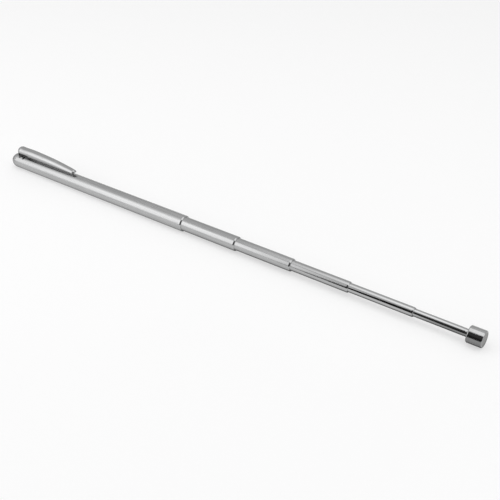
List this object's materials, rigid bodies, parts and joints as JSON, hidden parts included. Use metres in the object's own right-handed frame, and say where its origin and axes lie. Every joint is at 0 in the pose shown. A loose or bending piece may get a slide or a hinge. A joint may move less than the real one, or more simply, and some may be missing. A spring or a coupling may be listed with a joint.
{
  "type": "magnetic pickup tool",
  "caption": "Pocket telescoping magnetic pickup tool: plated barrel with a clip, nested drawn sections that slide and turn, and a cupped magnet on the slimmest one.",
  "frame": {"origin": "on the tool axis, in the middle of the bare 70 mm grip stretch of the barrel between the tip of the clip and the barrel mouth", "axes": "+X along the tool axis from the barrel towards the magnet, +Z from the axis towards the pocket clip, +Y completes a right-handed frame"},
  "size_m": [0.2772, 0.008, 0.0133],
  "materials": {
    "barrel_steel": "satin plated tube, finely drawn lengthwise",
    "plug_steel": "turned and plated, slightly duller than the barrel",
    "clip_steel": "pressed spring steel, satin plated",
    "section_steel": "satin drawn tube with rub lines from sliding",
    "slim_section_steel": "bright drawn tube",
    "bush_brass": "turned brass",
    "spring_bronze": "rolled spring bronze",
    "stem_steel": "turned steel",
    "cup_chrome": "polished plated steel",
    "magnet_nickel": "nickel plated magnet, slightly matt"
  },
  "bodies": {
    "barrel": {"barrel_tube": "barrel_steel", "barrel_end_plug": "plug_steel", "pocket_clip": "clip_steel"},
    "spring_2": {"section_2_friction_spring": "spring_bronze"},
    "section_2": {"section_2_tube": "section_steel", "section_2_guide_bush": "bush_brass"},
    "spring_3": {"section_3_friction_spring": "spring_bronze"},
    "section_3": {"section_3_tube": "section_steel", "section_3_guide_bush": "bush_brass"},
    "spring_4": {"section_4_friction_spring": "spring_bronze"},
    "section_4": {"section_4_tube": "slim_section_steel", "section_4_guide_bush": "bush_brass"},
    "spring_5": {"section_5_friction_spring": "spring_bronze"},
    "section_5": {"section_5_tube": "slim_section_steel", "section_5_guide_bush": "bush_brass"},
    "spring_6": {"section_6_friction_spring": "spring_bronze"},
    "section_6": {"section_6_tube": "slim_section_steel", "section_6_guide_bush": "bush_brass", "head_stem": "stem_steel", "magnet_cup": "cup_chrome", "backing_disc": "stem_steel", "magnet": "magnet_nickel"}
  },
  "joints": [
    {"name": "section_2_slide", "type": "slide", "parent": "barrel", "child": "spring_2", "axis": [1, 0, 0], "range_m": [-0.0308, 0.0781]},
    {"name": "section_2_turn", "type": "hinge", "parent": "spring_2", "child": "section_2", "pos_m": [0.0201, 0, 0], "axis": [1, 0, 0], "continuous": true},
    {"name": "section_3_slide", "type": "slide", "parent": "section_2", "child": "spring_3", "axis": [1, 0, 0], "range_m": [-0.0294, 0.07455]},
    {"name": "section_3_turn", "type": "hinge", "parent": "spring_3", "child": "section_3", "pos_m": [0.0505, 0, 0], "axis": [1, 0, 0], "continuous": true},
    {"name": "section_4_slide", "type": "slide", "parent": "section_3", "child": "spring_4", "axis": [1, 0, 0], "range_m": [-0.0277, 0.0713]},
    {"name": "section_4_turn", "type": "hinge", "parent": "spring_4", "child": "section_4", "pos_m": [0.0792, 0, 0], "axis": [1, 0, 0], "continuous": true},
    {"name": "section_5_slide", "type": "slide", "parent": "section_4", "child": "spring_5", "axis": [1, 0, 0], "range_m": [-0.0286, 0.06545]},
    {"name": "section_5_turn", "type": "hinge", "parent": "spring_5", "child": "section_5", "pos_m": [0.1088, 0, 0], "axis": [1, 0, 0], "continuous": true},
    {"name": "section_6_slide", "type": "slide", "parent": "section_5", "child": "spring_6", "axis": [1, 0, 0], "range_m": [-0.02165, 0.06745]},
    {"name": "section_6_turn", "type": "hinge", "parent": "spring_6", "child": "section_6", "pos_m": [0.1315, 0, 0], "axis": [1, 0, 0], "continuous": true}
  ]
}
